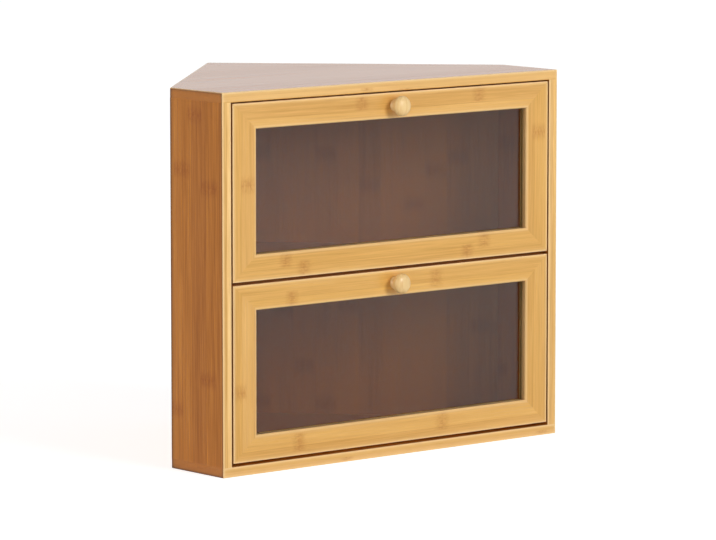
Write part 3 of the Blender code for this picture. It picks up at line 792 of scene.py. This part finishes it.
# Each mark's height, its place from front to back, and its half width.
SIDE_MARKS = (
    (0.322, -0.0980, 0.0110),
    (0.272, -0.0790, 0.0130),
    (0.258, -0.1180, 0.0130),
    (0.086, -0.1160, 0.0120),
    (0.055, -0.0700, 0.0100),
)

front_and_backs = case_sides[2:]
marks = [(along, across - SIDE_FIRST_STRIP, half_width) for along, across, half_width in SIDE_MARKS]
for side, hand in (("left", -1), ("right", 1)):
    node = f"{side}_side_panel"
    low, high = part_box(node)
    thickness = high.x - low.x
    corner = ((low.x + high.x) / 2, SIDE_FIRST_STRIP, 0)
    coat(panels[node], bamboo(
        node, "zyx", corner, SIDE_STRIP, thickness / CASE_PLIES, thickness,
        box_sides(node, "x") + front_and_backs, SIDE_SEEDS[side],
        marks=marks, own_knuckles=0.0, contrast=SIDE_CONTRAST, shine=PANEL_SHINE, bare=(FRONT,),
    ))

    node = f"{side}_back_panel"
    low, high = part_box(node)
    outward = Vector((hand * BACK_SLOPE, BACK_SLOPE, 0))
    outer = Vector((hand * max(abs(low.x), abs(high.x)), low.y, 0))
    centre = outer - outward * (BACK_THICKNESS / 2)
    coat(panels[node], bamboo(
        node, "zxy", centre, BACK_STRIP, BACK_THICKNESS / CASE_PLIES, BACK_THICKNESS,
        case_sides, BACK_SEEDS[side], turn=hand * math.radians(BACK_DEGREES), shine=PANEL_SHINE,
    ))
    print(side, "back panel's mid plane passes through", [round(part, 4) for part in centre])

# %% [markdown]
# ## The doors' mitres
#
# Each door has four members with mitred ends. A rail's fibres run from left to right and a stile's run
# upright, so the fibres meet at each mitre, which is all that shows that the frame is made of four pieces:
# on the real door the mitres are glued and sanded flush. The solid frame keeps a gap of 0.3 mm in each
# mitre, so that its pieces never touch. Such a gap would draw a dark line across every corner.
#
# So each member becomes a copy too, and the points of its two mitred ends move outwards along the member
# until they lie on the diagonal. Its long edges stay where they are.

# %% Close the mitres
MITRE_REACH = 0.0004


def close_mitres(piece, outer, inner, axis):
    """Moves both mitred ends along an axis, x or z, onto the diagonals from outer to inner corners."""
    index = "xyz".index(axis)
    for outside, inside in zip(outer, inner):
        along = (inside - outside).normalized()
        square = Vector((along.z, 0, -along.x))
        gaps = [(point.co - outside).dot(square) for point in piece.data.vertices]
        gap = min((gap for gap in gaps if abs(gap) < MITRE_REACH), key=abs)
        select_points(piece, lambda place: abs((place - outside).dot(square) - gap) < MERGE_DISTANCE)
        step = [0.0, 0.0, 0.0]
        step[index] = -gap / square[index]
        bpy.ops.transform.translate(value=step)


# %% The corners of a door's frame
def door_corners(level):
    """The outer and the inner corners of a door's frame, by name, seen from the front."""
    boxes = {member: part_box(f"{level}_door_{member}") for member in
             ("bottom_rail", "top_rail", "left_stile", "right_stile")}
    (bottom_low, bottom_high), (top_low, top_high) = boxes["bottom_rail"], boxes["top_rail"]
    (left_low, left_high), (right_low, right_high) = boxes["left_stile"], boxes["right_stile"]
    outer = {"left": left_low.x, "right": right_high.x, "bottom": bottom_low.z, "top": top_high.z}
    inner = {"left": left_high.x, "right": right_low.x, "bottom": bottom_high.z, "top": top_low.z}
    return [
        {f"{low_high}_{side}": Vector((ring[side], 0, ring[low_high]))
         for low_high in ("bottom", "top") for side in ("left", "right")}
        for ring in (outer, inner)
    ]


for level in ("lower", "upper"):
    for ring in door_corners(level):
        opening = ring["top_right"] - ring["bottom_left"]
        print(level, "door", round(opening.x * 1000, 1), "by", round(opening.z * 1000, 1), "mm")

# %% Shape the doors' members
LEFT, RIGHT, UP = Vector((-1, 0, 0)), Vector((1, 0, 0)), Vector((0, 0, 1))
# Each member's two ends, the axis that it runs along, and the direction from it to the window.
MEMBERS = {
    "bottom_rail": (("bottom_left", "bottom_right"), "x", UP),
    "top_rail": (("top_left", "top_right"), "x", -UP),
    "left_stile": (("bottom_left", "top_left"), "z", RIGHT),
    "right_stile": (("bottom_right", "top_right"), "z", LEFT),
}
members = {}
windows = {}
for level in ("lower", "upper"):
    outer, inner = door_corners(level)
    for member, (ends, axis, to_window) in MEMBERS.items():
        node = f"{level}_door_{member}"
        members[node] = copy_node(node)
        close_mitres(members[node], [outer[end] for end in ends], [inner[end] for end in ends], axis)
        finish_copy(members[node], node, f"{level}_door")
        windows[node] = (to_window, inner[ends[0]].dot(to_window))

# %% [markdown]
# ## Wood for the doors
#
# Every rail and stile is two strips wide, and its knuckles are few and far apart. They were placed after the
# photograph, like those of the left side: for a rail by how far they lie from the middle and from its lower
# edge, for a stile by their height and how far they lie from its left edge. The front and the back of a door
# are bare. Its narrow edges take the caramel as painted shade, which makes the gaps round it and the
# windows' reveals look so dark.

# %% Dress the doors
DOOR_PLY = 0.0034
DOOR_SEED = 41.0
MARK_HALF_WIDTH = 0.0088
FRONT_MARKS = {
    "upper_door_top_rail": ((-0.039, 0.0178), (0.102, 0.0178)),
    "upper_door_bottom_rail": ((-0.128, 0.0178), (-0.107, 0.0060), (0.088, 0.0060), (0.109, 0.0178)),
    "upper_door_left_stile": ((0.260, 0.0173),),
    "upper_door_right_stile": ((0.287, 0.0155),),
    "lower_door_top_rail": ((-0.121, 0.0060), (0.050, 0.0120)),
    "lower_door_bottom_rail": ((-0.113, 0.0120), (0.058, 0.0140)),
    "lower_door_left_stile": ((0.075, 0.0068),),
}

for number, (node, piece) in enumerate(members.items()):
    low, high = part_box(node)
    is_rail = node.endswith("rail")
    width = high.z - low.z if is_rail else high.x - low.x
    middle = (low.y + high.y) / 2
    corner = (0, middle, low.z) if is_rail else (low.x, middle, 0)
    marks = [(along, across, MARK_HALF_WIDTH) for along, across in FRONT_MARKS.get(node, ())]
    coat(piece, bamboo(
        node, "xzy" if is_rail else "zxy", corner, width / 2, DOOR_PLY, high.y - low.y,
        box_sides(node, "yz" if is_rail else "yx"), DOOR_SEED + number,
        # A door's narrow edges are not bare, so they take caramel as painted shade for the gaps and reveals.
        marks=marks, own_knuckles=0.0, bare=(FRONT, -FRONT), window=windows[node],
    ))
    print(node, round(width * 1000, 1), "mm wide,", len(marks), "knuckles")

# %% [markdown]
# ## The panes
#
# A pane is a real thickness of clear plastic with a smoky tint, so it is a glass shader whose colour is what
# the sheet lets through. The tint is partly the plastic's smoke and partly painted shade: it is dark enough
# to make the inside of the box look deep in shade. Its reflections are the shader's own. Lamps can't find
# their way through glass on their own, so rays that look for a lamp are sent through a Transparent shader
# instead.
# They cross both sides of the pane and the tint is met twice, so each side gets its square root.

# %% Dress the panes
# The pane's share of light for each colour: partly a smoky tint, partly painted shade for the box's inside.
PANE_TINT_AND_SHADE_SHARES = (0.49, 0.48, 0.43)
PANE_IOR = 1.4
pane_material, tree, shader = new_material("smoky pane with painted shade")
shader.inputs["Base Color"].default_value = (*PANE_TINT_AND_SHADE_SHARES, 1)
shader.inputs["Roughness"].default_value = 0
shader.inputs["Transmission Weight"].default_value = 1
shader.inputs["IOR"].default_value = PANE_IOR
one_side = (*(math.sqrt(share) for share in PANE_TINT_AND_SHADE_SHARES), 1)
through = add_node(tree, "ShaderNodeBsdfTransparent", {"Color": one_side})
path = add_node(tree, "ShaderNodeLightPath")
output = next(item for item in tree.nodes if item.type == "OUTPUT_MATERIAL")
inputs = {0: path.outputs["Is Shadow Ray"], 1: shader.outputs[0], 2: through.outputs[0]}
switch = add_node(tree, "ShaderNodeMixShader", inputs)
tree.links.new(switch.outputs[0], output.inputs["Surface"])
for level in ("lower", "upper"):
    coat(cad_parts[f"{level}_door_pane"], pane_material)
print("pane lets through", PANE_TINT_AND_SHADE_SHARES)

# %% [markdown]
# ## The knobs
#
# A knob like this is turned on a lathe from a short rod. Its head has a softly domed face and a rounded rim,
# and behind the rim it runs down into a slim neck and flares again where it meets the door. The solid knob
# has 32 flats round it and few steps along it, and this one is to be smooth.
#
# First we write its outline as a list of rings. A half wave leads from foot to neck and from neck to head, a
# quarter circle rounds the back of the rim, and the dome is a superellipse: the curve of an ellipse, but
# with a power above 2, which makes it fuller at the rim and flatter in the middle.

# %% The knob's outline
KNOB_RADIUS = 0.00925
KNOB_LENGTH = 0.015
KNOB_DOME_HEIGHT = 0.0058
KNOB_DOME_POWER = 2.4
KNOB_RIM = 0.0022
KNOB_NECK_RADIUS = 0.00425
KNOB_FOOT_RADIUS = 0.00575
KNOB_FACE_POINT = 0.0003
DOME_POINTS = 12
RIM_POINTS = 6
CURVE_POINTS = 6


def knob_rings():
    """Radius and height of each ring, from the foot to the middle of the face."""
    widest = KNOB_LENGTH - KNOB_DOME_HEIGHT
    head_low = widest - KNOB_RIM
    waist = head_low / 2
    flat = KNOB_RADIUS - KNOB_RIM
    rings = []
    for (start_radius, start), (end_radius, end) in (
        ((KNOB_FOOT_RADIUS, 0), (KNOB_NECK_RADIUS, waist)),
        ((KNOB_NECK_RADIUS, waist), (flat, head_low)),
    ):
        for step in range(1, CURVE_POINTS + 1):
            share = step / CURVE_POINTS
            swell = (1 - math.cos(math.pi * share)) / 2
            radius = start_radius + (end_radius - start_radius) * swell
            rings.append((radius, start + (end - start) * share))
    for step in range(1, RIM_POINTS + 1):
        turn = math.radians(90 * step / RIM_POINTS)
        rings.append((flat + KNOB_RIM * math.sin(turn), widest - KNOB_RIM * math.cos(turn)))
    for step in range(1, DOME_POINTS):
        turn = math.radians(90 * step / DOME_POINTS)
        radius = KNOB_RADIUS * math.cos(turn) ** (2 / KNOB_DOME_POWER)
        rings.append((radius, widest + KNOB_DOME_HEIGHT * math.sin(turn) ** (2 / KNOB_DOME_POWER)))
    return rings + [(KNOB_FACE_POINT, KNOB_LENGTH)]


print("knob outline has", len(knob_rings()), "rings")

# %% [markdown]
# ## Turning the knobs
#
# The new knob starts as a circle at its foot. We extrude the circle ring by ring, as the lathe's tool would
# travel, and scale each ring to its radius. The last ring is so small that it closes the face. Smooth
# shading does the rest. The mesh is made at the origin, facing the front, and is then moved to its door in
# edit mode, so that the finished piece's object stays at the origin.

# %% Turn the knobs
KNOB_RING_POINTS = 64
KNOB_SMOOTH_DEGREES = 60


def turn_knob(name, foot):
    """A knob whose foot stands on the door's front at a place."""
    bpy.ops.object.select_all(action="DESELECT")
    bpy.ops.mesh.primitive_circle_add(
        vertices=KNOB_RING_POINTS, radius=KNOB_FOOT_RADIUS, fill_type="NGON",
        location=(0, 0, 0), rotation=(math.radians(90), 0, 0),
    )
    knob = bpy.context.object
    knob.name = name
    bpy.ops.object.transform_apply(location=True, rotation=True, scale=True)
    bpy.ops.object.mode_set(mode="EDIT")
    bpy.ops.mesh.select_all(action="SELECT")
    radius, height = KNOB_FOOT_RADIUS, 0.0
    for next_radius, next_height in knob_rings():
        bpy.ops.mesh.extrude_region_move(TRANSFORM_OT_translate={"value": (0, height - next_height, 0)})
        share = next_radius / radius
        bpy.ops.transform.resize(value=(share, 1, share), center_override=(0, -next_height, 0))
        radius, height = next_radius, next_height
    bpy.ops.mesh.select_all(action="SELECT")
    bpy.ops.mesh.normals_make_consistent(inside=False)
    bpy.ops.transform.translate(value=foot)
    bpy.ops.object.mode_set(mode="OBJECT")
    bpy.ops.object.shade_smooth_by_angle(angle=math.radians(KNOB_SMOOTH_DEGREES))
    return knob


knobs = []
for level in ("lower", "upper"):
    low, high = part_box(f"{level}_door_knob")
    foot = Vector(((low.x + high.x) / 2, high.y, (low.z + high.z) / 2))
    knob = turn_knob(f"{level}_door_turned_knob", foot)
    knobs.append(knob)
    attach(knob, f"{level}_door")
    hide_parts(f"{level}_door_knob")
    print(knob.name, [round(side, 5) for side in knob.dimensions], [round(side, 5) for side in high - low])

# %% [markdown]
# ## The knobs' wood
#
# The knobs are paler than the doors and turned from a close-grained wood. The fibres run upright across the
# face, so the pattern is squeezed sideways and not along the knob's axis. Slow bands give the broad changes
# of tone, and fine fibres on top of them break up the gloss.

# %% Dress the knobs
KNOB_PALE, KNOB_DEEP = colour(246, 211, 148), colour(232, 188, 120)
KNOB_FIBRES_PER_METRE = (850, 850, 22)
KNOB_BANDS_PER_METRE = (260, 260, 9)
KNOB_FIBRE_SHARE = 0.6
KNOB_TONE_RANGE = (0.3, 0.75)
KNOB_ROUGHNESS = (0.28, 0.42)
KNOB_RELIEF, KNOB_RELIEF_SHARE = 0.00008, 0.3
# Noise seldom leaves these limits, so we read it between them.
NOISE_RANGE = (0.3, 0.7)

knob_material, tree, shader = new_material("turned pale wood")
place = add_node(tree, "ShaderNodeTexCoord").outputs["Object"]
fibres = noise(tree, vector_calc(tree, "MULTIPLY", place, KNOB_FIBRES_PER_METRE), detail=3)
bands = noise(tree, vector_calc(tree, "MULTIPLY", place, KNOB_BANDS_PER_METRE))
grain = calc(tree, "MULTIPLY_ADD", calc(tree, "SUBTRACT", fibres, 0.5), KNOB_FIBRE_SHARE, bands)
tone = blend_colours(tree, remap(tree, grain, *KNOB_TONE_RANGE), KNOB_PALE, KNOB_DEEP)
rough = remap(tree, fibres, *NOISE_RANGE, *KNOB_ROUGHNESS)
inputs = {"Strength": KNOB_RELIEF_SHARE, "Distance": KNOB_RELIEF, "Height": fibres}
bump = add_node(tree, "ShaderNodeBump", inputs).outputs[0]
tree.links.new(tone, shader.inputs["Base Color"])
tree.links.new(rough, shader.inputs["Roughness"])
tree.links.new(bump, shader.inputs["Normal"])
for knob in knobs:
    coat(knob, knob_material)
print("knob wood", len(tree.nodes), "nodes")

# %% [markdown]
# ## Steel and magnets
#
# The pins, screws, strikes and magnets are small, and most are seen only with a door open. Turned and plated
# metal is never even: it keeps fine lines from the tool and a slight haze, so its roughness wavers.

# %% Finishes for the metal parts
HAZE_PER_METRE = 700
SCRATCHES_PER_METRE = (300, 5200, 5200)
SCRATCH_SHARE = 0.6
HAZE_RANGE, HAZED_LIGHT = (0.4, 0.75), 0.8


def metal(name, tone, *roughness):
    """Plated metal with a faint haze and fine scratches, and its lowest and highest roughness."""
    material, tree, shader = new_material(name)
    place = add_node(tree, "ShaderNodeTexCoord").outputs["Object"]
    haze = noise(tree, place, detail=3, scale=HAZE_PER_METRE)
    scratches = noise(tree, vector_calc(tree, "MULTIPLY", place, SCRATCHES_PER_METRE))
    both = calc(tree, "MULTIPLY_ADD", calc(tree, "SUBTRACT", scratches, 0.5), SCRATCH_SHARE, haze)
    rough = remap(tree, both, *NOISE_RANGE, *roughness)
    dull = (*(part * HAZED_LIGHT for part in tone[:3]), 1)
    hazed = blend_colours(tree, remap(tree, haze, *HAZE_RANGE), tone, dull)
    tree.links.new(hazed, shader.inputs["Base Color"])
    tree.links.new(rough, shader.inputs["Roughness"])
    shader.inputs["Metallic"].default_value = 1
    return material


small_finishes = {
    "pin_steel": metal("pin steel", colour(196, 197, 200), 0.2, 0.4),
    "screw_steel": metal("zinc plated steel", colour(206, 204, 198), 0.25, 0.5),
    "magnet_nickel": metal("nickel", colour(204, 198, 186), 0.12, 0.3),
}
print("metal finishes", list(small_finishes))

# %% [markdown]
# ## Dowels, and who wears what
#
# The dowels sit hidden in the boards and are plain beech, a dry, fine, pale wood. Every small part of the
# frame already names its finish in its plain material, so one loop gives each of them the new one.

# %% Dress the small parts
DOWEL_FIBRES_PER_METRE = (900, 900, 30)
BEECH_PALE, BEECH_DEEP = colour(222, 184, 136), colour(196, 152, 104)
BEECH_ROUGHNESS = (0.55, 0.7)

dowel_material, tree, shader = new_material("dowel beech")
place = add_node(tree, "ShaderNodeTexCoord").outputs["Object"]
fibres = noise(tree, vector_calc(tree, "MULTIPLY", place, DOWEL_FIBRES_PER_METRE))
beech = blend_colours(tree, remap(tree, fibres, *NOISE_RANGE), BEECH_PALE, BEECH_DEEP)
rough = remap(tree, fibres, *NOISE_RANGE, *BEECH_ROUGHNESS)
tree.links.new(beech, shader.inputs["Base Color"])
tree.links.new(rough, shader.inputs["Roughness"])
small_finishes["dowel_wood"] = dowel_material

counts = dict.fromkeys(small_finishes, 0)
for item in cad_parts.values():
    plain = item.data.materials[0].name.split(".")[0] if item.data.materials else ""
    if plain in small_finishes:
        coat(item, small_finishes[plain])
        counts[plain] += 1
print(counts)
